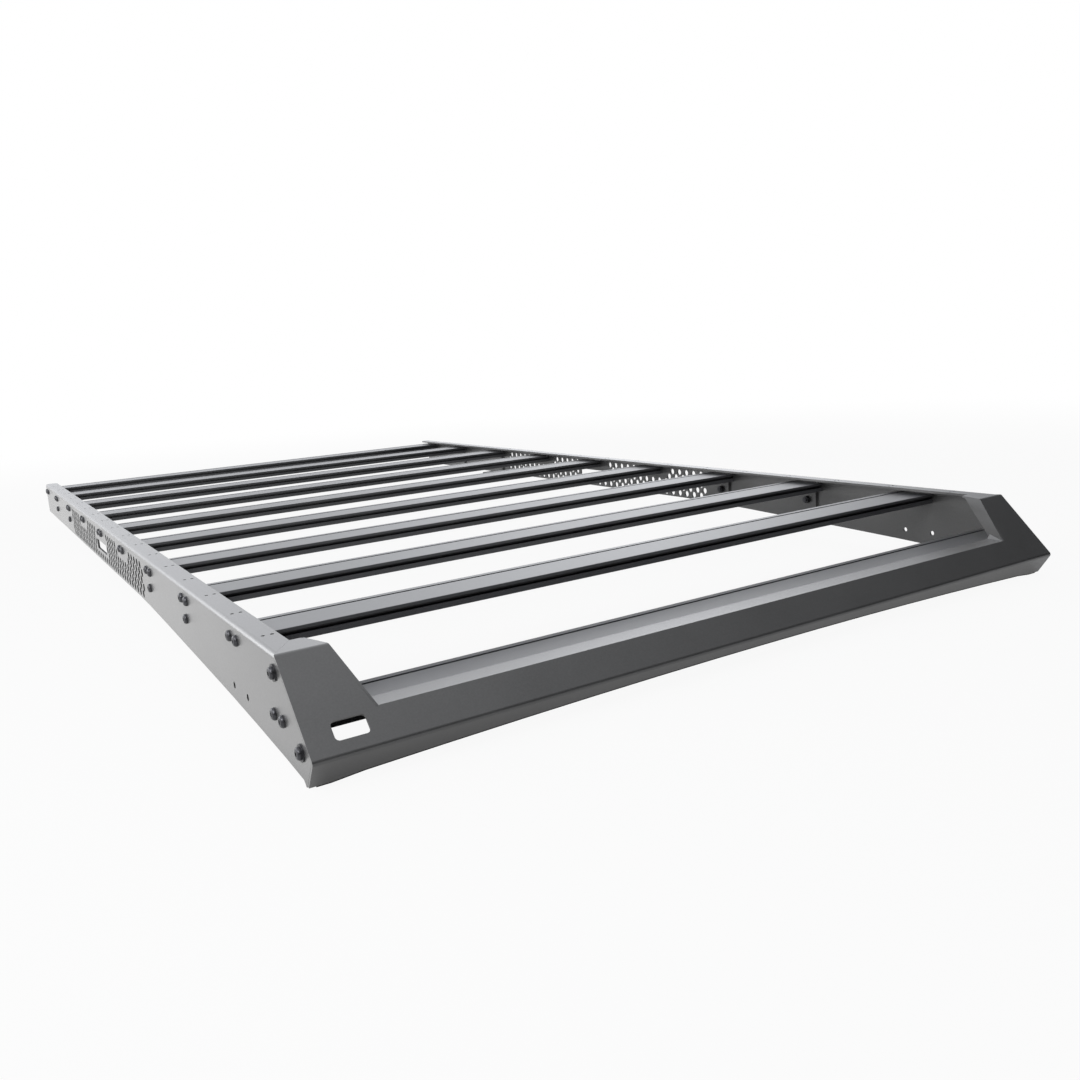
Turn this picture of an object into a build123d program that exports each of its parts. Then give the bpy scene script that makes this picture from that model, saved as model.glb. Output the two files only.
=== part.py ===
from build123d import *
import math
import os

# Flat roof rack: two bent side rails, ten slotted crossbars, a folded front
# fairing with rubber edging and eight feet. Units are mm, Z is up, the front
# faces -Y. Stations are measured back from the fairing's front bend, and
# drops are measured down from the top of the side rails.

# Overall
rack_width = 1250.0
rack_length = 2255.0
rack_height = 123.5

# Side rails
rail_sheet = 4.0
rail_bend_radius = 6.0
rail_flange_width = 30.0
rail_rear_depth = 79.5
rail_straight_from = 900.0
rail_curve_stations = (547.0, 302.0, 145.0)
rail_curve_ratios = (0.239, 0.466, 0.67)
rail_corner_chamfer = 8.0
rail_toe_run = 8.0
rail_toe_rise = 6.0
rail_nose_run = 1.5
rail_nose_rise = 2.0

# Crossbars, evenly spaced but for the shorter last gap
bar_count = 8
bar_first_station = 215.0
bar_last_pitch = 215.0
bar_rear_inset = 75.0
bar_width = 72.0
bar_height = 17.0
bar_drop = 10.0
bar_wall = 2.2
bar_edge_radius = 1.0
bar_low_station = 52.0
bar_low_boss_shift = 9.0
bar_rear_land = 10.0
top_slot_width = 5.0
front_slot_drop = 4.2
front_slot_height = 5.4
front_slot_depth = 8.5
slot_lip = 2.4
slot_undercut = 2.6
slot_depth = 7.0
boss_hole_radius = 3.4
boss_spacing = 28.0
boss_wall = 2.2

# Front fairing
fairing_sheet = 3.0
fairing_bend_radius = 5.0
face_run = 89.0
return_depth = 33.5
return_run = 22.0
return_end_rise = 1.5
return_side_rise = 5.5
return_middle_rise = 19.0
return_toe_width = 24.0
return_end_width = 60.0
wing_flange_depth = 41.0
wing_top_width = 59.0
wing_low_width = 85.0
notch_drop = 59.0
notch_side_depth = 36.0
notch_low_depth = 29.0
notch_splay = 12.0
notch_corner_radius = 5.0
notch_flange_start = 1.5
notch_flange_lap = 1.0
notch_gusset_leg = 6.0
tab_depth = 42.0
tab_low_depth = 23.0
tab_rear_depth = 29.5
tab_rear_inset = 8.0
tab_lap = 1.8
cutout_width = 38.0
cutout_height = 22.0
cutout_radius = 5.0
cutout_inset = 49.0
cutout_drop = 70.0
joint_gap = 0.3

# Rubber edging on the fairing's lower edge
trim_wall = 2.5
trim_height = 7.0
trim_below = 1.5

# Feet
foot_bars = (2, 3, 7, 8)
foot_thickness = 5.0
foot_width = 44.0
foot_top_drop = 30.0
foot_reach = 52.0
foot_bend_radius = 7.0
foot_bolt_drop = 46.5
foot_slot_width = 9.0
foot_slot_length = 26.0
foot_slot_inset = 31.0

# Fasteners
bolt_radius = 4.0
bolt_clearance = 0.5
bolt_end = 2.0
bolt_head_radius = 7.0
bolt_head_height = 4.4
socket_radius = 2.6
socket_depth = 2.6
washer_radius = 9.5
washer_thickness = 1.6
nut_radius = 7.5
nut_height = 6.5
fairing_bolt_top = (97.0, 21.0)
fairing_bolt_low = (32.0, 88.0)

# Holes in the side rails
accessory_hole_radius = 2.3
accessory_hole_outer = 12.7
accessory_hole_inner = 23.0
accessory_lead = 47.0
accessories_per_bar = 2
spare_hole_radius = 4.2
spare_hole_stations = (216.0, 272.0)
spare_hole_drop = 82.0
perf_radius = 7.0
perf_pitch = 25.0
perf_rows = 5
perf_columns_each_way = 35
perf_first_drop = 19.5
perf_clear_of_bar = 62.0
window_length = 118.0
window_height = 20.0
window_drop = 47.5
window_radius = 3.0
window_clearance = 9.0

# Derived
half_width = rack_width / 2
inner_half = half_width - rail_sheet
rail_tip_depth = rack_height
bolt_hole_radius = bolt_radius + bolt_clearance
bar_rear_station = rack_length - bar_rear_inset
bar_last_station = bar_rear_station - bar_last_pitch
bar_pitch = (bar_last_station - bar_first_station) / (bar_count - 1)
top_slot_start = bar_width - bar_rear_land - top_slot_width
accessory_first_station = bar_first_station - accessory_lead
accessory_pitch = bar_pitch / accessories_per_bar
accessory_count = accessories_per_bar * bar_count + 1
face_drop = rail_tip_depth - return_depth
fairing_setback = fairing_sheet + joint_gap
return_drop_end = rail_tip_depth - return_end_rise
return_drop_side = rail_tip_depth - return_side_rise
return_drop_middle = rail_tip_depth - return_middle_rise
return_toe_half = half_width - return_toe_width
return_arc_half = half_width - return_end_width
return_cut_reach = 2 * tab_depth
notch_top_half = half_width - wing_top_width
notch_bottom_half = half_width - wing_low_width
bar_low_drop = notch_drop + fairing_sheet
cutout_offset = half_width - cutout_inset
perf_row_step = perf_pitch / 2


def y_at(station):
    return station - rack_length / 2


def z_at(drop):
    return rack_height - drop


def bar_stations():
    stations = [bar_first_station + bar_pitch * i for i in range(bar_count)]
    return stations + [bar_rear_station]


def bar_centre(station):
    return station + bar_width / 2


def side_face(points):
    """A face in the Y-Z plane from (station, drop) points."""
    corners = [(0, y_at(s), z_at(d)) for s, d in points]
    return Face(Wire.make_polygon(corners))


def slab(points, x0, x1):
    """A Y-Z outline made solid between two X positions."""
    face = side_face(points).moved(Location((x0, 0, 0)))
    return Solid.extrude(face, Vector(x1 - x0, 0, 0))


def cross_hole(station, drop, radius, x0, x1):
    """A round cutter along X."""
    plane = Plane(origin=(x0, y_at(station), z_at(drop)), z_dir=(1, 0, 0))
    return Solid.make_cylinder(radius, x1 - x0, plane)


def upright_hole(x, station, drop, radius, depth):
    """A round cutter along Z, hanging from the given drop."""
    plane = Plane(origin=(x, y_at(station), z_at(drop)), z_dir=(0, 0, -1))
    return Solid.make_cylinder(radius, depth, plane)


def shifted_line(a, b, amount):
    """Two points of the line a-b moved to its right by amount."""
    run = b[0] - a[0]
    fall = b[1] - a[1]
    length = math.hypot(run, fall)
    dx = -fall / length * amount
    dy = run / length * amount
    return (a[0] + dx, a[1] + dy), (b[0] + dx, b[1] + dy)


def crossing(line1, line2):
    """Where two lines given by points meet."""
    (x1, y1), (x2, y2) = line1
    (x3, y3), (x4, y4) = line2
    den = (x1 - x2) * (y3 - y4) - (y1 - y2) * (x3 - x4)
    p = x1 * y2 - y1 * x2
    q = x3 * y4 - y3 * x4
    x = (p * (x3 - x4) - (x1 - x2) * q) / den
    y = (p * (y3 - y4) - (y1 - y2) * q) / den
    return (x, y)


def offset_path(points, amount):
    """The open path moved sideways by amount, with mitred corners."""
    pairs = list(zip(points[:-1], points[1:]))
    lines = [shifted_line(a, b, amount) for a, b in pairs]
    middle = [crossing(l1, l2) for l1, l2 in zip(lines[:-1], lines[1:])]
    return [lines[0][0]] + middle + [lines[-1][1]]


# Side rails


def rail_front_path():
    """The web's slanted front edge, set back behind the fairing's face."""
    face = [(face_run, 0), (0, face_drop), (return_run, rail_tip_depth)]
    back = offset_path(face, -fairing_setback)
    tip_line = ((0, rail_tip_depth), (100, rail_tip_depth))
    top_line = ((0, 0), (100, 0))
    top = crossing((back[0], back[1]), top_line)
    tip = crossing((back[1], back[2]), tip_line)
    return [top, back[1], tip]


def rail_outline():
    """The rail's side view: straight behind, deeper towards the front."""
    front = rail_front_path()
    foremost = front[2][0]
    growth = rail_tip_depth - rail_rear_depth
    curve = [(0, y_at(rail_straight_from), z_at(rail_rear_depth))]
    for station, ratio in zip(rail_curve_stations, rail_curve_ratios):
        curve.append((0, y_at(station), z_at(rail_rear_depth + growth * ratio)))
    toe = z_at(rail_tip_depth - rail_toe_rise)
    curve.append((0, y_at(foremost + rail_toe_run), toe))
    lower = Spline(*curve, tangents=((0, -1, 0), (0, -1, -0.1)))
    start = lower @ 1
    tip = (0, y_at(foremost + rail_nose_run), z_at(rail_tip_depth))
    nose_back = foremost - return_lean() * rail_nose_rise
    nose = (0, y_at(nose_back), z_at(rail_tip_depth - rail_nose_rise))
    bend = (0, y_at(front[1][0]), z_at(front[1][1]))
    top = (0, y_at(front[0][0]), z_at(0))
    rear_top = (0, y_at(rack_length), z_at(0))
    rear_low = (0, y_at(rack_length), z_at(rail_rear_depth))
    join = (0, y_at(rail_straight_from), z_at(rail_rear_depth))
    edges = [
        Edge.make_line(rear_low, join),
        lower.edge(),
        Edge.make_line(start, tip),
        Edge.make_line(tip, nose),
        Edge.make_line(nose, bend),
        Edge.make_line(bend, top),
        Edge.make_line(top, rear_top),
        Edge.make_line(rear_top, rear_low),
    ]
    face = Face(Wire(edges))
    corner = face.vertices().sort_by_distance(bend)[0]
    return face.fillet_2d(fairing_bend_radius - fairing_sheet, [corner])


def rail_angle():
    """The bent angle section, as deep as the nose, over the full length."""
    outer = half_width
    inner = half_width - rail_flange_width
    points = [
        (outer, z_at(rack_height)),
        (outer, z_at(0)),
        (inner, z_at(0)),
        (inner, z_at(rail_sheet)),
        (outer - rail_sheet, z_at(rail_sheet)),
        (outer - rail_sheet, z_at(rack_height)),
    ]
    corners = [(x, y_at(0), z) for x, z in points]
    face = Face(Wire.make_polygon(corners))
    outer_bend = face.vertices().sort_by_distance((outer, y_at(0), z_at(0)))[0]
    inner_at = (outer - rail_sheet, y_at(0), z_at(rail_sheet))
    inner_bend = face.vertices().sort_by_distance(inner_at)[0]
    face = face.fillet_2d(rail_bend_radius, [outer_bend])
    face = face.fillet_2d(rail_bend_radius - rail_sheet, [inner_bend])
    return Solid.extrude(face, Vector(0, rack_length, 0))


def mitre_cutter(gap):
    """Clears the flange's front corner for the fairing's top flange."""
    inner = half_width - rail_flange_width
    slope = wing_flange_depth / rail_flange_width
    over = rail_sheet
    points = [
        (inner - over, y_at(-over)),
        (half_width + over, y_at(-over)),
        (half_width + over, y_at(face_run + gap - slope * over)),
        (inner - over, y_at(face_run + wing_flange_depth + gap + slope * over)),
    ]
    corners = [(x, y, z_at(rail_sheet)) for x, y in points]
    face = Face(Wire.make_polygon(corners))
    return Solid.extrude(face, Vector(0, 0, rail_sheet + 1))


def perforations():
    """Staggered round holes along the middle of the web."""
    cutters = []
    middle = bar_centre(bar_first_station + bar_pitch * 4)
    centres = [bar_centre(s) - middle for s in bar_stations()]
    for row in range(perf_rows):
        drop = perf_first_drop + perf_row_step * row
        for column in range(-perf_columns_each_way, perf_columns_each_way + 1):
            if (row + column) % 2:
                continue
            along = column * perf_row_step
            near = min(abs(along - c) for c in centres)
            if row < 2 and near < perf_clear_of_bar:
                continue
            beside = abs(along) < window_length / 2 + window_clearance
            level = abs(drop - window_drop)
            if beside and level < window_height / 2 + window_clearance:
                continue
            x0 = inner_half - 1
            x1 = half_width + 1
            cutters.append(cross_hole(middle + along, drop, perf_radius, x0, x1))
    return cutters


def window_cutter():
    """The plain rounded opening in the middle of the perforated panel."""
    middle = bar_centre(bar_first_station + bar_pitch * 4)
    s0 = middle - window_length / 2
    s1 = middle + window_length / 2
    d0 = window_drop - window_height / 2
    d1 = window_drop + window_height / 2
    face = side_face([(s0, d0), (s1, d0), (s1, d1), (s0, d1)])
    face = face.fillet_2d(window_radius, face.vertices())
    face = face.moved(Location((inner_half - 1, 0, 0)))
    return Solid.extrude(face, Vector(rail_sheet + 2, 0, 0))


def rail_bolt_holes():
    """Clearance holes for crossbar, foot and fairing bolts."""
    x0 = inner_half - 1
    x1 = half_width + 1
    spots = []
    for station in bar_stations():
        for side in (-0.5, 0.5):
            along = bar_centre(station) + boss_spacing * side
            spots.append((along, bar_drop + bar_height / 2))
    for side in (-0.5, 0.5):
        along = bar_centre(bar_low_station) + bar_low_boss_shift + boss_spacing * side
        spots.append((along, bar_low_drop + bar_height / 2))
    for number in foot_bars:
        station = bar_first_station + bar_pitch * (number - 1)
        spots.append((bar_centre(station), foot_bolt_drop))
    spots.append(fairing_bolt_top)
    spots.append(fairing_bolt_low)
    return [cross_hole(s, d, bolt_hole_radius, x0, x1) for s, d in spots]


def rail_small_holes():
    """Accessory holes along the flange and two spare holes low in front."""
    cutters = []
    for i in range(accessory_count):
        station = accessory_first_station + accessory_pitch * i
        for inset in (accessory_hole_outer, accessory_hole_inner):
            x = half_width - inset
            cutters.append(upright_hole(x, station, -1, accessory_hole_radius, rail_sheet + 2))
    for station in spare_hole_stations:
        x0 = inner_half - 1
        x1 = half_width + 1
        cutters.append(cross_hole(station, spare_hole_drop, spare_hole_radius, x0, x1))
    return cutters


def rear_corner_cutter():
    """The small chamfer on the flange's rear inner corner."""
    inner = half_width - rail_flange_width
    points = [
        (inner - 1, y_at(rack_length - rail_corner_chamfer - 1)),
        (inner + rail_corner_chamfer + 1, y_at(rack_length + 1)),
        (inner - 1, y_at(rack_length + 1)),
    ]
    corners = [(x, y, z_at(rail_sheet + 1)) for x, y in points]
    return Solid.extrude(Face(Wire.make_polygon(corners)), Vector(0, 0, rail_sheet + 2))


def side_rail():
    """The right-hand rail, at +X."""
    outline = rail_outline().moved(Location((half_width - rail_flange_width - 1, 0, 0)))
    prism = Solid.extrude(outline, Vector(rail_flange_width + 2, 0, 0))
    rail = rail_angle().intersect(prism).solid()
    rail = rail.cut(mitre_cutter(joint_gap), rear_corner_cutter(), window_cutter())
    rail = rail.solid().cut(*rail_bolt_holes(), *rail_small_holes())
    return rail.solid().cut(*perforations()).solid()


# Crossbars


def bar_section(station, drop, boss_shift):
    """The extruded section: top and front slots, two screw bosses."""
    y = y_at(station)
    z = z_at(drop)

    def box(a0, a1, b0, b1):
        corners = [(y + a0, z - b0), (y + a1, z - b0), (y + a1, z - b1), (y + a0, z - b1)]
        return Face(Wire.make_polygon([(0, p, q) for p, q in corners]))

    body = box(0, bar_width, 0, bar_height)
    body = body.fillet_2d(bar_edge_radius, body.vertices())
    top_mouth = box(top_slot_start, top_slot_start + top_slot_width, -1, slot_lip)
    top_room = box(
        top_slot_start - slot_undercut,
        top_slot_start + top_slot_width + slot_undercut,
        slot_lip,
        slot_depth,
    )
    front_mouth = box(-1, slot_lip, front_slot_drop, front_slot_drop + front_slot_height)
    front_room = box(
        slot_lip,
        front_slot_depth,
        bar_wall,
        front_slot_drop + front_slot_height + slot_undercut,
    )
    hole_front = bar_width / 2 + boss_shift - boss_spacing / 2
    hole_rear = hole_front + boss_spacing
    keep = boss_hole_radius + boss_wall
    core = box(hole_front + keep, hole_rear - keep, bar_wall, bar_height - bar_wall)
    rear_core = box(
        hole_rear + keep,
        bar_width - bar_wall,
        slot_depth + bar_wall,
        bar_height - bar_wall,
    )
    cuts = [top_mouth, top_room, front_mouth, front_room, core, rear_core]
    return body, cuts


def crossbar(station, drop, boss_shift=0.0):
    body, cuts = bar_section(station, drop, boss_shift)
    length = Vector(2 * inner_half, 0, 0)
    start = Location((-inner_half, 0, 0))
    bar = Solid.extrude(body.moved(start), length)
    tools = [Solid.extrude(face.moved(start), length) for face in cuts]
    for side in (-0.5, 0.5):
        along = bar_centre(station) + boss_shift + boss_spacing * side
        level = drop + bar_height / 2
        tools.append(cross_hole(along, level, boss_hole_radius, -inner_half, inner_half))
    return bar.cut(*tools).solid()


# Front fairing


def fairing_path():
    """The fairing's outer surface seen from the side, before trimming."""
    low = return_drop_end + 6
    run = return_lean() * (low - face_drop)
    return [
        (face_run + wing_flange_depth, 0),
        (face_run, 0),
        (0, face_drop),
        (run, low),
    ]


def fairing_shell():
    """Top flange, slanted face and lower return as one bent sheet."""
    outer = fairing_path()
    inner = offset_path(outer, -fairing_sheet)
    face = side_face(outer + inner[::-1])

    def corner(point):
        return (0, y_at(point[0]), z_at(point[1]))

    for index, radius in ((1, fairing_bend_radius), (2, fairing_bend_radius)):
        vertex = face.vertices().sort_by_distance(corner(outer[index]))[0]
        face = face.fillet_2d(radius, [vertex])
        vertex = face.vertices().sort_by_distance(corner(inner[index]))[0]
        face = face.fillet_2d(radius - fairing_sheet, [vertex])
    face = face.moved(Location((-half_width, 0, 0)))
    return Solid.extrude(face, Vector(rack_width, 0, 0))


def notch_station():
    return face_run * (1 - notch_drop / face_drop)


def notch_slopes():
    """How the notch's side leans per mm of station and of drop."""
    along = notch_splay / notch_side_depth
    reach = along * (face_run - notch_station())
    down = (notch_top_half - notch_bottom_half - reach) / notch_drop
    return along, down


def notch_side(station, drop, out=0.0):
    """The notch side's distance from the middle at a station and drop."""
    along, down = notch_slopes()
    return notch_top_half + along * (station - face_run) - down * drop + out


def notch_cutter():
    """Clears face and top flange between the wings."""
    corners = []
    for station in (-10, face_run + wing_flange_depth + 10):
        top = -10
        low = notch_drop
        ring = []
        for sign, drop in ((-1, top), (1, top), (1, low), (-1, low)):
            x = sign * notch_side(station, drop)
            ring.append((x, y_at(station), z_at(drop)))
        corners.append(Wire.make_polygon(ring))
    return Solid.make_loft(corners, True)


def plate(points, direction):
    """A flat plate from its corner points, thickened along a vector."""
    face = Face(Wire.make_polygon(points))
    return Solid.extrude(face, Vector(*direction))


def notch_side_flange(sign):
    """The strip folded back along one side of the notch."""
    top_s = face_run + notch_flange_start
    low_s = notch_station()
    spots = [
        (top_s, 0),
        (top_s + notch_side_depth, 0),
        (low_s + notch_low_depth, notch_drop),
        (low_s, notch_drop),
    ]
    points = [(sign * notch_side(s, d), y_at(s), z_at(d)) for s, d in spots]
    along, down = notch_slopes()
    size = math.sqrt(1 + along * along + down * down)
    unit = (sign / size, -along / size, -down / size)
    return plate(points, [c * fairing_sheet for c in unit])


def notch_low_flange():
    """The strip folded back along the notch's lower edge."""
    low_s = notch_station()
    back = low_s + notch_low_depth
    end_front = notch_side(low_s, notch_drop, notch_flange_lap)
    end_back = notch_side(back, notch_drop, notch_flange_lap)
    front = low_s + notch_flange_lap / 2
    points = [
        (-end_front, y_at(front), z_at(notch_drop)),
        (end_front, y_at(front), z_at(notch_drop)),
        (end_back, y_at(back), z_at(notch_drop)),
        (-end_back, y_at(back), z_at(notch_drop)),
    ]
    return plate(points, (0, 0, -fairing_sheet))


def notch_gusset(sign):
    """The small filler welded in where the side and low strips meet."""
    low_s = notch_station()
    front = low_s + notch_flange_lap / 2
    back = low_s + notch_low_depth
    high = notch_drop - notch_gusset_leg
    corner = notch_side(front, notch_drop)
    beside = notch_side(back, high)
    below = notch_side(back, notch_drop) - notch_gusset_leg
    points = [
        (sign * corner, y_at(front), z_at(notch_drop)),
        (sign * beside, y_at(back), z_at(high)),
        (sign * below, y_at(back), z_at(notch_drop)),
    ]
    step = fairing_sheet / math.sqrt(2)
    return plate(points, (sign * step, 0, -step))


def end_tab(sign):
    """The tab bent back at one end, bolted to the inside of the web."""
    outer = fairing_path()
    front = offset_path(outer, -tab_lap)
    back = offset_path(outer, -tab_depth)
    low = offset_path(outer, -tab_low_depth)
    top = rail_bend_radius + joint_gap
    rear = face_run + wing_flange_depth - tab_rear_inset
    points = [
        crossing((front[1], front[2]), ((0, top), (face_run, top))),
        front[2],
        front[3],
        low[3],
        back[2],
        (rear, tab_rear_depth),
        (rear, top),
    ]
    x0 = sign * (inner_half - fairing_sheet)
    x1 = sign * inner_half
    tab = slab(points, min(x0, x1), max(x0, x1))
    clear = joint_gap * 2
    s0 = bar_low_station - clear
    d0 = bar_low_drop - clear
    d1 = bar_low_drop + bar_height + clear
    room = [(s0, d0), (rack_width, d0), (rack_width, d1), (s0, d1)]
    return tab.cut(slab(room, min(x0, x1) - 1, max(x0, x1) + 1)).solid()


def return_lean():
    """How far the return moves back per mm of drop."""
    return return_run / (rail_tip_depth - face_drop)


def on_return(x, drop):
    """A point on the return's outer surface."""
    return (x, y_at(return_lean() * (drop - face_drop)), z_at(drop))


def arch_edges(shift):
    """The return's lower edge: a wide arc that drops to a toe at each end."""
    half = half_width + 2
    end = return_drop_end + shift
    side = return_drop_side + shift
    ends = [on_return(sign * half, end) for sign in (-1, 1)]
    toes = [on_return(sign * return_toe_half, end) for sign in (-1, 1)]
    sides = [on_return(sign * return_arc_half, side) for sign in (-1, 1)]
    middle = on_return(0, return_drop_middle + shift)
    return [
        Edge.make_line(ends[0], toes[0]),
        Edge.make_line(toes[0], sides[0]),
        Edge.make_three_point_arc(sides[0], middle, sides[1]),
        Edge.make_line(sides[1], toes[1]),
        Edge.make_line(toes[1], ends[1]),
    ]


def through_return(edges, reach):
    """A face on the return made solid on both sides of it."""
    size = math.hypot(1, return_lean())
    normal = Vector(0, -1 / size, -return_lean() / size) * reach
    face = Face(Wire(edges)).moved(Location((normal.X, normal.Y, normal.Z)))
    return Solid.extrude(face, normal * -2)


def return_cutter():
    """Clears everything under the return's arched lower edge."""
    half = half_width + 2
    end = return_drop_end
    low = rack_height + 20
    edges = arch_edges(0) + [
        Edge.make_line(on_return(half, end), on_return(half, low)),
        Edge.make_line(on_return(half, low), on_return(-half, low)),
        Edge.make_line(on_return(-half, low), on_return(-half, end)),
    ]
    return through_return(edges, return_cut_reach)


def fairing_mitre_cutter(sign):
    """Trims the top flange's outer end along the mitre with the rail."""
    inner = half_width - rail_flange_width
    back = face_run + wing_flange_depth
    points = [
        (inner, back),
        (half_width, face_run),
        (half_width + 10, face_run),
        (half_width + 10, back + 10),
        (inner, back + 10),
    ]
    corners = [(sign * x, y_at(s), z_at(fairing_sheet + 0.5)) for x, s in points]
    return Solid.extrude(Face(Wire.make_polygon(corners)), Vector(0, 0, fairing_sheet + 5))


def cutout_cutter():
    """The plain rounded opening low in the left wing."""
    station = face_run * (1 - cutout_drop / face_drop)
    normal = (0, -face_drop, face_run)
    plane = Plane(
        origin=(-cutout_offset, y_at(station), z_at(cutout_drop)),
        x_dir=(1, 0, 0),
        z_dir=normal,
    )
    sketch = plane * RectangleRounded(cutout_width, cutout_height, cutout_radius)
    return extrude(sketch, amount=fairing_sheet * 3, both=True).solid()


def wing_corner_cutter(sign):
    """Rounds the top flange's rear inner corner."""
    back = face_run + wing_flange_depth
    x = notch_side(back, 0)
    r = notch_corner_radius
    block = Solid.make_box(r, r, fairing_sheet + 2)
    block = block.moved(Location((0, -r, -1)))
    plane = Plane(origin=(r, -r, -1), z_dir=(0, 0, 1))
    block = block.cut(Solid.make_cylinder(r, fairing_sheet + 2, plane)).solid()
    if sign < 0:
        block = block.mirror(Plane.YZ)
    return block.moved(Location((sign * x, y_at(back), z_at(fairing_sheet))))


def fairing_bolt_holes():
    holes = []
    for station, drop in (fairing_bolt_top, fairing_bolt_low):
        for x in (-inner_half, inner_half - fairing_sheet):
            x1 = x + fairing_sheet + 1
            holes.append(cross_hole(station, drop, bolt_hole_radius, x - 1, x1))
    return holes


def trimmed_shell():
    """The bent sheet after its laser-cut outline."""
    shell = fairing_shell().cut(return_cutter()).cut(notch_cutter())
    for sign in (1, -1):
        shell = shell.cut(fairing_mitre_cutter(sign))
        shell = shell.cut(wing_corner_cutter(sign))
    return shell.cut(cutout_cutter()).solid()


def front_fairing():
    strip = notch_low_flange()
    for sign in (1, -1):
        strip = strip.fuse(notch_gusset(sign))
    for sign in (1, -1):
        flange = notch_side_flange(sign).cut(wing_corner_cutter(sign))
        strip = strip.fuse(flange)
    body = trimmed_shell()
    for sign in (1, -1):
        tab = end_tab(sign).cut(return_cutter()).cut(*fairing_bolt_holes())
        body = body.fuse(tab)
    return body.fuse(strip.clean()).clean().solid()


# Rubber edging


def trim_outline():
    """The edging seen from the side: flush in front, one wall behind the sheet."""
    lean = return_lean()
    high = return_drop_middle - trim_height
    low = return_drop_end + trim_below + 4
    s_high = lean * (high - face_drop)
    s_low = lean * (low - face_drop)
    thick = fairing_sheet * math.hypot(1, lean) + trim_wall
    return [(s_high, high), (s_low, low), (s_low + thick, low), (s_high + thick, high)]


def trim_band():
    """The band just over and under the arched edge."""
    half = half_width + 2
    rise = trim_below - trim_height
    upper = return_drop_end + rise
    lower = return_drop_end + trim_below
    edges = arch_edges(rise) + arch_edges(trim_below) + [
        Edge.make_line(on_return(half, upper), on_return(half, lower)),
        Edge.make_line(on_return(-half, upper), on_return(-half, lower)),
    ]
    return through_return(edges, 20)


def edge_trim():
    """An angle of rubber bonded behind and under the return's lower edge."""
    end = inner_half - fairing_sheet - 1
    return slab(trim_outline(), -end, end).intersect(trim_band()).solid()


# Feet and fasteners


def foot(number, sign):
    """A bent bracket under one crossbar, slotted for the roof's fixing."""
    station = bar_first_station + bar_pitch * (number - 1)
    outer = inner_half
    low = rail_rear_depth
    points = [
        (outer, foot_top_drop),
        (outer, low),
        (outer - foot_reach, low),
        (outer - foot_reach, low - foot_thickness),
        (outer - foot_thickness, low - foot_thickness),
        (outer - foot_thickness, foot_top_drop),
    ]
    y = y_at(bar_centre(station) - foot_width / 2)
    face = Face(Wire.make_polygon([(x, y, z_at(d)) for x, d in points]))
    vertex = face.vertices().sort_by_distance((outer, y, z_at(low)))[0]
    face = face.fillet_2d(foot_bend_radius, [vertex])
    at = (outer - foot_thickness, y, z_at(low - foot_thickness))
    vertex = face.vertices().sort_by_distance(at)[0]
    face = face.fillet_2d(foot_bend_radius - foot_thickness, [vertex])
    body = Solid.extrude(face, Vector(0, foot_width, 0))
    centre = bar_centre(station)
    x = outer - foot_slot_inset
    plane = Plane(origin=(x, y_at(centre), z_at(low)), x_dir=(0, 1, 0), z_dir=(0, 0, 1))
    sketch = plane * SlotOverall(foot_slot_length, foot_slot_width)
    slot = extrude(sketch, amount=foot_thickness * 3, both=True).solid()
    x0 = outer - foot_thickness - 1
    hole = cross_hole(centre, foot_bolt_drop, bolt_hole_radius, x0, outer + 1)
    body = body.cut(slot, hole).solid()
    return body if sign > 0 else body.mirror(Plane.YZ)


def fastener(station, drop, grip, washer):
    """A button-head bolt at the +X web, with its nut inside."""
    x = half_width
    outer = x
    pieces = []

    def disc(x0, x1, radius):
        return cross_hole(station, drop, radius, x0, x1)

    if washer:
        pieces.append(disc(x, x + washer_thickness, washer_radius))
        outer = x + washer_thickness
    head = disc(outer, outer + bolt_head_height, bolt_head_radius)
    rim = head.edges().group_by(Axis.X)[-1]
    head = head.fillet(bolt_head_height * 0.7, rim)
    nut_at = x - rail_sheet - grip
    shank = disc(nut_at - nut_height - bolt_end, outer, bolt_radius)
    plane = Plane(origin=(nut_at - nut_height, y_at(station), z_at(drop)), z_dir=(1, 0, 0))
    nut = extrude(plane * RegularPolygon(nut_radius, 6), amount=nut_height).solid()
    top = outer + bolt_head_height
    plane = Plane(origin=(top - socket_depth, y_at(station), z_at(drop)), z_dir=(1, 0, 0))
    socket = extrude(plane * RegularPolygon(socket_radius, 6), amount=socket_depth * 2).solid()
    body = head.fuse(shank, nut, *pieces).clean()
    return body.cut(socket).solid()


def foot_bolts(sign):
    bolts = []
    for number in foot_bars:
        station = bar_centre(bar_first_station + bar_pitch * (number - 1))
        bolts.append(fastener(station, foot_bolt_drop, foot_thickness, False))
    if sign < 0:
        bolts = [b.mirror(Plane.YZ) for b in bolts]
    return Compound(children=bolts)


def fairing_bolts(sign):
    bolts = []
    for station, drop in (fairing_bolt_top, fairing_bolt_low):
        bolts.append(fastener(station, drop, fairing_sheet, True))
    if sign < 0:
        bolts = [b.mirror(Plane.YZ) for b in bolts]
    return Compound(children=bolts)


def write(name, shape):
    export_step(shape, "parts/" + name + ".step")


os.makedirs("parts", exist_ok=True)

right_rail = side_rail()
write("side_rail_right", right_rail)
write("side_rail_left", right_rail.mirror(Plane.YZ))

low_bar = crossbar(bar_low_station, bar_low_drop, bar_low_boss_shift)
write("front_low_crossbar", low_bar)
for index, bar_station in enumerate(bar_stations()[:-1]):
    write("crossbar_%d" % (index + 1), crossbar(bar_station, bar_drop))
write("rear_crossbar", crossbar(bar_rear_station, bar_drop))

fairing = front_fairing()
write("front_fairing", fairing)
trim = edge_trim().cut(fairing).solid()
write("fairing_edge_trim", trim)

for bar_number in foot_bars:
    write("foot_left_%d" % bar_number, foot(bar_number, -1))
    write("foot_right_%d" % bar_number, foot(bar_number, 1))

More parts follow.
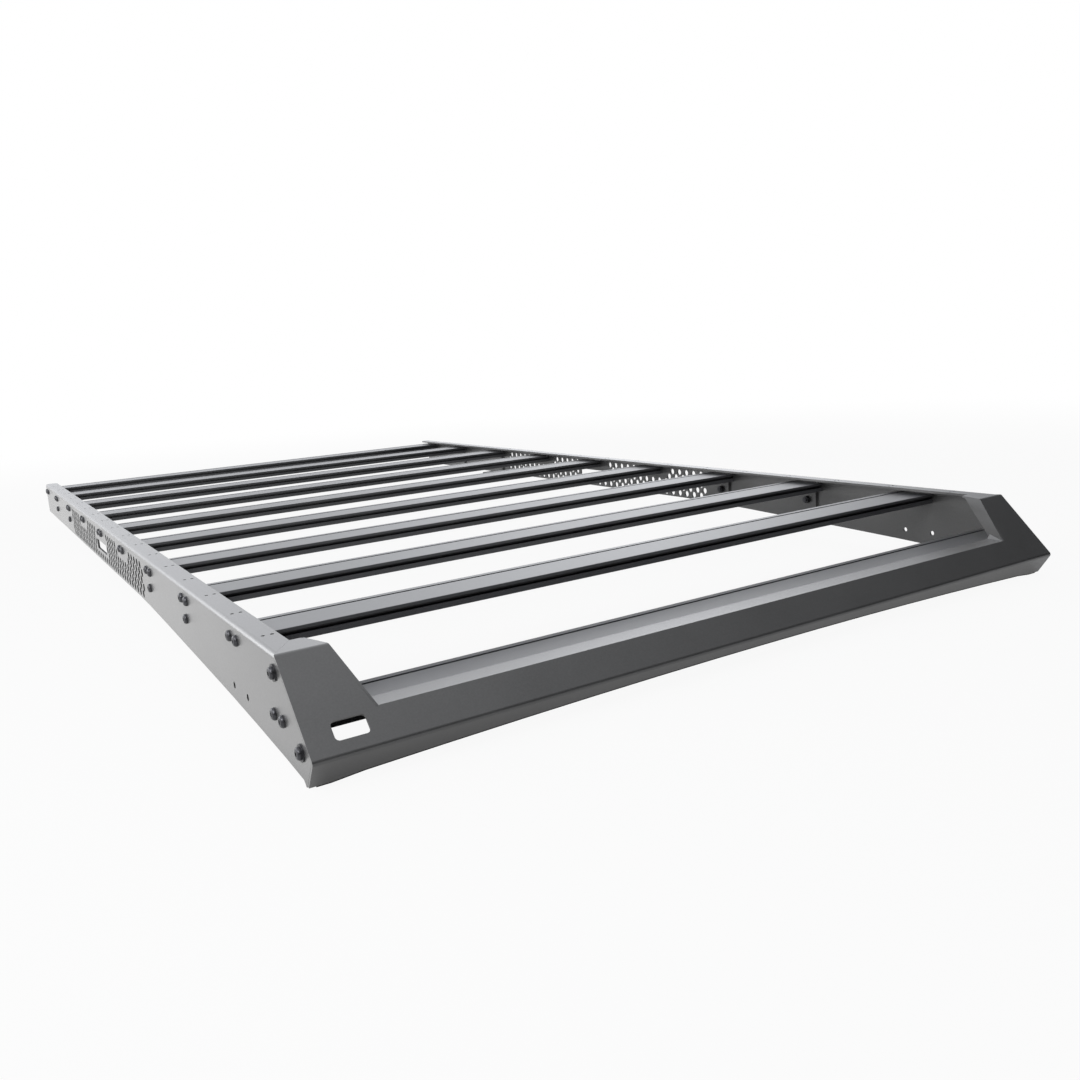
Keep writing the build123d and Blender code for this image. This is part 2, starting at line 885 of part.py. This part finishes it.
write("foot_bolts_left", foot_bolts(-1))
write("foot_bolts_right", foot_bolts(1))
write("fairing_bolts_left", fairing_bolts(-1))
write("fairing_bolts_right", fairing_bolts(1))
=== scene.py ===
import math

import bmesh
import bpy
from mathutils import Matrix, Vector


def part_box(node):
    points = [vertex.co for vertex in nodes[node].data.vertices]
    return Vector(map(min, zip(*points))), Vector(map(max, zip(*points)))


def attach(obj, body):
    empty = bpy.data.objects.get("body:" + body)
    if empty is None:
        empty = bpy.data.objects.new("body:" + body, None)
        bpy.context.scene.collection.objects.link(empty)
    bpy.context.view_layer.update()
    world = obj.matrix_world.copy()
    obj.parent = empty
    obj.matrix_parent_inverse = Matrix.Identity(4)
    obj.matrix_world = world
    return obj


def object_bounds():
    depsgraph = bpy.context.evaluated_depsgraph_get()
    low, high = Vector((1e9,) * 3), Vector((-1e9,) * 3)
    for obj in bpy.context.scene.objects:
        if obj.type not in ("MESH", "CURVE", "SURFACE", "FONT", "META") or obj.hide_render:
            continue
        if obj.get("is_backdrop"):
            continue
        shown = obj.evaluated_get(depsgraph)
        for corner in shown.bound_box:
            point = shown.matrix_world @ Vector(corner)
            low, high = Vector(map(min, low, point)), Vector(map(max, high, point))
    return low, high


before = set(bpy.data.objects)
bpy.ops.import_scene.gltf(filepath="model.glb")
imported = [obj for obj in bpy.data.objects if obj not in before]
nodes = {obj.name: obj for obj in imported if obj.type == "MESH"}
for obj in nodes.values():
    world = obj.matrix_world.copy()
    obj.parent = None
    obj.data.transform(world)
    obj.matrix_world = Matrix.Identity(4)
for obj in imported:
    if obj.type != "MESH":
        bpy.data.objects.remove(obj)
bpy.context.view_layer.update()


# Side rails. Each is one length of 4 mm aluminium sheet, laser cut with its
# holes and perforated panel and bent over at the top, then powder coated in
# a fine satin black. The feet and crossbars are bolted to its upright web.

class Value:
    """A shader socket that takes plain arithmetic."""

    def __init__(self, tree, socket):
        self.tree = tree
        self.socket = socket

    def math(self, operation, first, second):
        settings = {"operation": operation}
        return self.tree.add("ShaderNodeMath", settings, {0: first, 1: second})["Value"]

    def __add__(self, other):
        return self.math("ADD", self, other)

    def __radd__(self, other):
        return self.math("ADD", other, self)

    def __rsub__(self, other):
        return self.math("SUBTRACT", other, self)

    def __mul__(self, other):
        return self.math("MULTIPLY", self, other)

    def __rmul__(self, other):
        return self.math("MULTIPLY", other, self)

    def __pow__(self, other):
        return self.math("POWER", self, other)


class Shading:
    """The node tree of a material or of the world."""

    def __init__(self, owner):
        owner.use_nodes = True
        self.owner = owner
        self.nodes = owner.node_tree.nodes
        self.links = owner.node_tree.links

    def set(self, node, key, value):
        socket = node.inputs[key]
        if isinstance(value, Value):
            self.links.new(value.socket, socket)
        else:
            socket.default_value = value

    def add(self, kind, settings, inputs):
        node = self.nodes.new(kind)
        for name, value in settings.items():
            setattr(node, name, value)
        for key, value in inputs.items():
            self.set(node, key, value)
        return {socket.name: Value(self, socket) for socket in node.outputs if socket.enabled}

    def position(self):
        """The place on the piece, in metres from the rack's origin."""
        return self.add("ShaderNodeTexCoord", {}, {})["Object"]

    def noise(self, place, scale, detail, roughness):
        """Cloudy noise with this many patches per metre."""
        inputs = {"Vector": place, "Scale": scale, "Detail": detail, "Roughness": roughness}
        return self.add("ShaderNodeTexNoise", {}, inputs)["Fac"]

    def blend(self, share, first, second):
        """One colour that goes over into another."""
        inputs = {"Factor": share, "A": first, "B": second}
        return self.add("ShaderNodeMix", {"data_type": "RGBA"}, inputs)["Result"]

    def relief(self, height, strength, distance):
        """A skin's fine ups and downs, this many metres high."""
        inputs = {"Height": height, "Strength": strength, "Distance": distance}
        return self.add("ShaderNodeBump", {}, inputs)["Normal"]


def grey(level):
    return (level, level, level, 1.0)


def powder_coat(name, dark, light, stretch, coat_roughness, coat_weight):
    """Satin black powder coat: a fine pebbled skin, a little uneven in tone."""
    coat = Shading(bpy.data.materials.new(name))
    shader = coat.nodes["Principled BSDF"]
    place = coat.position()
    along = coat.add("ShaderNodeMapping", {}, {"Vector": place, "Scale": stretch})["Vector"]
    cloud = coat.noise(along, scale=9.0, detail=4.0, roughness=0.6)
    pebble = coat.noise(place, scale=420.0, detail=3.0, roughness=0.6)
    peel = coat.noise(along, scale=140.0, detail=1.0, roughness=0.4)
    tone = cloud * 0.4 + pebble * 0.6
    skin = pebble * 0.7 + peel * 0.3
    coat.set(shader, "Base Color", coat.blend(tone, dark, light))
    coat.set(shader, "Roughness", 0.31 + cloud * 0.1 + pebble * 0.14)
    coat.set(shader, "Specular IOR Level", 0.65)
    coat.set(shader, "Normal", coat.relief(skin, strength=0.5, distance=0.0002))
    coat.set(shader, "Coat Weight", coat_weight + cloud * 0.2)
    coat.set(shader, "Coat Roughness", coat_roughness)
    coat.set(shader, "Coat IOR", 1.75)
    return coat.owner


def finish_node(name, material):
    """A CAD node keeps its shape and takes a made finish."""
    for place in nodes[name].material_slots:
        place.material = material


sheet_coat = powder_coat(
    "sheet_powder_coat",
    dark=grey(0.026),
    light=grey(0.074),
    stretch=(1.0, 1.0, 1.0),
    coat_roughness=0.24,
    coat_weight=0.8,
)
for side in ("left", "right"):
    finish_node("side_rail_" + side, sheet_coat)


# Crossbars. Ten lengths of one aluminium extrusion, with a slot along the top
# and one along the front edge for T nuts, sawn to length and powder coated.
# Faint lines from the extrusion die still run along them under the coat.

bar_coat = powder_coat(
    "bar_powder_coat",
    dark=(0.028, 0.029, 0.032, 1.0),
    light=(0.074, 0.076, 0.084, 1.0),
    stretch=(0.08, 1.0, 1.0),
    coat_roughness=0.28,
    coat_weight=0.45,
)
bars = ["crossbar_%d" % number for number in range(1, 9)]
bars += ["front_low_crossbar", "rear_crossbar"]
for name in bars:
    finish_node(name, bar_coat)


# Crossbar bolts. M8 button head screws of blackened steel, with a hexagon
# socket, pass through the rail's web and form their thread in the two screw
# bosses at each end of a crossbar. The low crossbar's bosses sit further back.

def bolt_steel(name):
    """Black oxide on steel: dark, slightly blue and a little patchy."""
    steel = Shading(bpy.data.materials.new(name))
    shader = steel.nodes["Principled BSDF"]
    place = steel.position()
    patch = steel.noise(place, scale=260.0, detail=5.0, roughness=0.65)
    fleck = steel.noise(place, scale=1500.0, detail=2.0, roughness=0.5)
    dark, light = (0.030, 0.031, 0.035, 1.0), (0.105, 0.105, 0.112, 1.0)
    steel.set(shader, "Base Color", steel.blend(patch, dark, light))
    steel.set(shader, "Metallic", 0.85)
    steel.set(shader, "Roughness", 0.28 + patch * 0.2)
    steel.set(shader, "Normal", steel.relief(fleck, strength=0.3, distance=0.00006))
    return steel.owner


def button_head(mesh, x, y, z, sign):
    """One screw, seated on the web at x and pointing inwards."""
    facets = 36
    core_radius, shank_radius, head_radius = 0.0033, 0.0040, 0.0070
    point, thread_end, shank_end = -0.0200, -0.0045, -0.0038
    rim_height, head_height = 0.0006, 0.0044
    dome_inset, crown_radius = 0.0034, 0.0034
    socket_apothem, socket_depth = 0.0025, 0.0026
    socket_lead, socket_draft, drill_point = 0.0003, 0.0002, 0.0006

    profile = [(core_radius, point), (core_radius, thread_end), (shank_radius, shank_end)]
    profile += [(shank_radius, 0.0), (head_radius, 0.0), (head_radius, rim_height)]
    for step in range(1, 9):
        turn = math.radians(10 * step)
        radius = head_radius - dome_inset * (1 - math.cos(turn))
        profile.append((radius, rim_height + (head_height - rim_height) * math.sin(turn)))
    profile.append((crown_radius, head_height))

    turns = [2 * math.pi * k / facets for k in range(facets)]
    rings = [[(radius, height, turn) for turn in turns] for radius, height in profile]
    for height in (head_height, head_height - socket_lead, head_height - socket_depth):
        apothem = socket_apothem if height == head_height else socket_apothem - socket_draft
        ring = []
        for turn in turns:
            within = (turn + math.pi / 6) % (math.pi / 3) - math.pi / 6
            ring.append((apothem / math.cos(within), height, turn))
        rings.append(ring)

    made = []
    for ring in rings:
        row = []
        for radius, height, turn in ring:
            across, up = radius * math.cos(turn), radius * math.sin(turn)
            row.append(mesh.verts.new((x + sign * height, y + across, z + up)))
        made.append(row)
    for low, high in zip(made[:-1], made[1:]):
        for k in range(facets):
            quad = [low[k], low[(k + 1) % facets], high[(k + 1) % facets], high[k]]
            mesh.faces.new(quad if sign > 0 else quad[::-1])
    mesh.faces.new(made[0][::-1] if sign > 0 else made[0])

    socket_floor = x + sign * (head_height - socket_depth - drill_point)
    middle = mesh.verts.new((socket_floor, y, z))
    last = made[-1]
    for k in range(facets):
        tri = [last[k], last[(k + 1) % facets], middle]
        mesh.faces.new(tri if sign > 0 else tri[::-1])


oxide = bolt_steel("black_oxide_steel")
web_x = 0.625
boss_spacing = 0.028
low_boss_shift = 0.009
sharp_from_degrees = 35
for name in bars:
    low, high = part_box(name)
    boss_shift = low_boss_shift if name == "front_low_crossbar" else 0.0
    mesh = bmesh.new()
    for sign in (-1, 1):
        for step in (-0.5, 0.5):
            y = (low.y + high.y) / 2 + boss_spacing * step + boss_shift
            button_head(mesh, sign * web_x, y, (low.z + high.z) / 2, sign)
    data = bpy.data.meshes.new(name + "_bolts")
    mesh.to_mesh(data)
    mesh.free()
    data.shade_smooth()
    data.set_sharp_from_angle(angle=math.radians(sharp_from_degrees))
    bolts = bpy.data.objects.new(name + "_bolts", data)
    bpy.context.scene.collection.objects.link(bolts)
    data.materials.append(oxide)
    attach(bolts, "root")


# Front fairing. One 3 mm sheet, cut out and folded: two wings, a wide notch
# with folded edges, a slanted face and a return under it. It wears the same
# coat as the rails and is bolted to them through its end tabs.

finish_node("front_fairing", sheet_coat)


# Rubber edging. A soft black angle strip, extruded and bonded behind and under
# the fairing's arched lower edge, where it would meet the roof.

def soft_rubber(name):
    """Matt black rubber with a fine dry grain."""
    rubber = Shading(bpy.data.materials.new(name))
    shader = rubber.nodes["Principled BSDF"]
    grain = rubber.noise(rubber.position(), scale=420.0, detail=3.0, roughness=0.6)
    rubber.set(shader, "Base Color", rubber.blend(grain, grey(0.010), grey(0.024)))
    rubber.set(shader, "Roughness", 0.72 + grain * 0.16)
    rubber.set(shader, "Specular IOR Level", 0.3)
    rubber.set(shader, "Normal", rubber.relief(grain, strength=0.4, distance=0.0001))
    return rubber.owner


finish_node("fairing_edge_trim", soft_rubber("edging_rubber"))


# Feet. Slotted angle brackets of 5 mm plate inside the rails, under four of
# the crossbars, coated like the rest. Each hangs on one bolt, washer and nut,
# and the fairing's end tabs have the same bolts.

for side in ("left", "right"):
    for number in (2, 3, 7, 8):
        finish_node("foot_%s_%d" % (side, number), sheet_coat)
    finish_node("foot_bolts_" + side, oxide)
    finish_node("fairing_bolts_" + side, oxide)


# Studio. A matt pale floor that reads as white to the camera and keeps the
# rack's soft shadow, a surround with glows low behind and above, and two lamps:
# a long one at the left and a small one before the left front corner.

def studio_floor():
    """Painted boards, whose mirror image is darkest before and under the rack; that mirror image
    is a painted reflection, set by place, and white to the rack's left.
    """
    reach, drop = 14.0, 0.0006
    mesh = bmesh.new()
    for x, y in ((-reach, -reach), (reach, -reach), (reach, reach), (-reach, reach)):
        mesh.verts.new((x, y, -drop))
    mesh.faces.new(mesh.verts)
    data = bpy.data.meshes.new("studio_floor")
    mesh.to_mesh(data)
    mesh.free()
    floor = bpy.data.objects.new("studio_floor", data)
    bpy.context.scene.collection.objects.link(floor)
    paint = Shading(bpy.data.materials.new("pale_floor"))
    output = paint.nodes["Material Output"]
    paint.nodes.remove(paint.nodes["Principled BSDF"])
    place = paint.position()
    split = paint.add("ShaderNodeSeparateXYZ", {}, {"Vector": place})
    length = paint.add("ShaderNodeVectorMath", {"operation": "LENGTH"}, {0: place})["Value"]

    def ramp(value, start, end):
        """From 0 at start to 1 at end, both in metres."""
        settings = {"interpolation_type": "SMOOTHSTEP"}
        ends = {"Value": value, "From Min": start, "From Max": end}
        return paint.add("ShaderNodeMapRange", settings, ends)["Result"]

    far = ramp(length, 1.6, 4.5)
    # Painted reflection: in the metal the floor shows mostly matt before the rack, a little paler
    # further back, and plain white to the left of the rack.
    painted_reflection_back = ramp(split["Y"], -1.35, -1.05)
    painted_reflection_left = ramp(0.0 - split["X"], 0.60, 0.66)
    path = paint.add("ShaderNodeLightPath", {}, {})
    seen = 0.93 + 0.07 * far
    painted_reflection_share = 0.08 + 0.24 * painted_reflection_back + 0.68 * painted_reflection_left
    white_share = path["Is Camera Ray"] * seen + path["Is Transmission Ray"]
    white_share = white_share + path["Is Glossy Ray"] * painted_reflection_share
    matt = paint.add("ShaderNodeBsdfDiffuse", {}, {"Color": grey(0.40)})["BSDF"]
    white = paint.add("ShaderNodeEmission", {}, {"Color": grey(1.0), "Strength": 1.0})["Emission"]
    mixed = paint.add("ShaderNodeMixShader", {}, {0: white_share, 1: matt, 2: white})["Shader"]
    paint.set(output, "Surface", mixed)
    data.materials.append(paint.owner)
    floor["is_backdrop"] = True


def surround(glows):
    """White to the camera; each glow is a soft patch of light in one direction."""
    world = bpy.data.worlds.new("white_surround")
    bpy.context.scene.world = world
    sky = Shading(world)
    backdrop = sky.nodes["Background"]
    path = sky.add("ShaderNodeLightPath", {}, {})
    seen = path["Is Camera Ray"] + path["Is Transmission Ray"]
    facing = sky.add("ShaderNodeTexCoord", {}, {})["Generated"]
    light = 0.0
    for turn, rise, tightness, strength in glows:
        turn, rise = math.radians(turn), math.radians(rise)
        aim = (math.sin(turn) * math.cos(rise), math.cos(turn) * math.cos(rise), math.sin(rise))
        toward = sky.add("ShaderNodeVectorMath", {"operation": "DOT_PRODUCT"}, {0: facing, 1: aim})
        front = sky.add("ShaderNodeMath", {"operation": "MAXIMUM"}, {0: toward["Value"], 1: 0.0})
        light = light + front["Value"] ** tightness * strength
    cool_light = (0.95, 0.965, 1.0, 1.0)
    sky.set(backdrop, "Color", sky.blend(seen, cool_light, grey(1.0)))
    sky.set(backdrop, "Strength", seen + (1 - seen) * light)


def soft_lamp(name, place, target, size, power):
    data = bpy.data.lights.new(name, "AREA")
    data.shape = "RECTANGLE"
    data.size, data.size_y = size
    data.energy = power
    lamp = bpy.data.objects.new(name, data)
    bpy.context.scene.collection.objects.link(lamp)
    lamp.location = place
    lamp.rotation_mode = "QUATERNION"
    aim = Vector(target) - Vector(place)
    lamp.rotation_quaternion = aim.to_track_quat("-Z", "Y")
    lamp.visible_camera = False


studio_floor()

# Each glow's turn from straight behind towards the right and its rise, both in
# degrees, then how tight it is and how strong
surround([
    (35, 14, 16, 1.1),
    (46, 12, 60, 0.4),
    (40, 20, 80, 0.7),
    (15, 40, 8, 1.1),
    (5, 10, 60, 0.6),
    (-30, 14, 12, 2.4),
    (0, 90, 4, 1.2),
])
soft_lamp(
    "lamp_left",
    place=(-3.4, 1.5, 1.3),
    target=(-0.6, 0.0, 0.05),
    size=(5.0, 2.4),
    power=80.0,
)
soft_lamp(
    "lamp_corner",
    place=(-2.0, -1.6, 1.5),
    target=(-0.5, -0.8, 0.1),
    size=(1.2, 1.2),
    power=36.0,
)


# Camera. It stands low in front of the rack's left end, where the picture was
# taken, with the frame moved sideways a little. A larger shift would cut the
# rack off in the views from the side and from behind.

data = bpy.data.cameras.new("camera")
data.sensor_width = 36.0
data.lens = 31.983
data.shift_x = 0.02
data.clip_start = 0.05
data.clip_end = 60.0
camera = bpy.data.objects.new("camera", data)
bpy.context.scene.collection.objects.link(camera)
place = Vector((-0.888708, -1.982854, 0.410663))
right = Vector((0.849816, -0.522951, -0.065841))
down = Vector((-0.155637, -0.129623, -0.979273))
ahead = Vector((0.503577, 0.842449, -0.191546))
turn = Matrix((right, -down, -ahead)).transposed().to_4x4()
camera.matrix_world = Matrix.Translation(place) @ turn
bpy.context.scene.camera = camera
bpy.context.scene.view_settings.view_transform = "Standard"

low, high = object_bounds()
